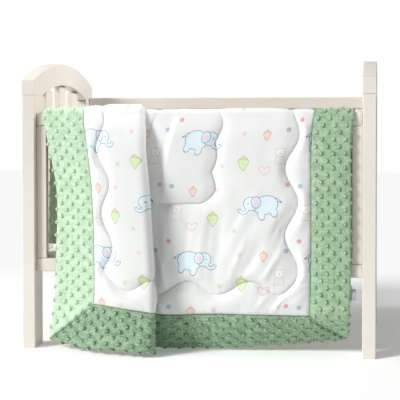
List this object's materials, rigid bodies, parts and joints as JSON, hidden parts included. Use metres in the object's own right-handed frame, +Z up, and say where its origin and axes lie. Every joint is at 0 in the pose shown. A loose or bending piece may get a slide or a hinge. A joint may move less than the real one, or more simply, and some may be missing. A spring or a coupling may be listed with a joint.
{
  "type": "crib comforter draped over a crib",
  "caption": "Quilted crib comforter with a printed cotton centre and a dotted plush border, hung over the lowered front rail of a small slatted wooden crib.",
  "frame": {"origin": "on the floor under the middle of the whole part's box", "axes": "+X along the crib to its right end as seen from the front, -Y towards the front where the comforter falls, +Z up"},
  "size_m": [1.296, 0.8247, 1.069],
  "materials": {
    "painted_wood": "off-white paint, satin",
    "printed_cotton": "printed plain-weave cotton over batting",
    "green_minky": "short plush pile with raised dots",
    "label_cloth": "blank satin tape"
  },
  "bodies": {
    "root": {"left_post_front": "painted_wood", "left_post_back": "painted_wood", "left_arch": "painted_wood", "left_bottom_rail": "painted_wood", "left_slat_1": "painted_wood", "left_slat_2": "painted_wood", "left_slat_3": "painted_wood", "right_post_front": "painted_wood", "right_post_back": "painted_wood", "right_arch": "painted_wood", "right_bottom_rail": "painted_wood", "right_slat_1": "painted_wood", "right_slat_2": "painted_wood", "right_slat_3": "painted_wood", "front_top_rail": "painted_wood", "front_bottom_rail": "painted_wood", "front_stile_left": "painted_wood", "front_stile_right": "painted_wood", "front_slat_01": "painted_wood", "front_slat_02": "painted_wood", "front_slat_03": "painted_wood", "front_slat_04": "painted_wood", "front_slat_05": "painted_wood", "front_slat_06": "painted_wood", "front_slat_07": "painted_wood", "front_slat_08": "painted_wood", "front_slat_09": "painted_wood", "front_slat_10": "painted_wood", "front_slat_11": "painted_wood", "back_top_rail": "painted_wood", "back_bottom_rail": "painted_wood", "back_stile_left": "painted_wood", "back_stile_right": "painted_wood", "back_slat_01": "painted_wood", "back_slat_02": "painted_wood", "back_slat_03": "painted_wood", "back_slat_04": "painted_wood", "back_slat_05": "painted_wood", "back_slat_06": "painted_wood", "back_slat_07": "painted_wood", "back_slat_08": "painted_wood", "back_slat_09": "painted_wood", "back_slat_10": "painted_wood", "back_slat_11": "painted_wood", "crib_base": "painted_wood", "comforter_panel": "printed_cotton", "comforter_border_left": "green_minky", "comforter_border_right": "green_minky", "comforter_border_front": "green_minky", "comforter_border_rear": "green_minky", "comforter_backing": "green_minky", "comforter_label": "label_cloth"}
  },
  "joints": []
}
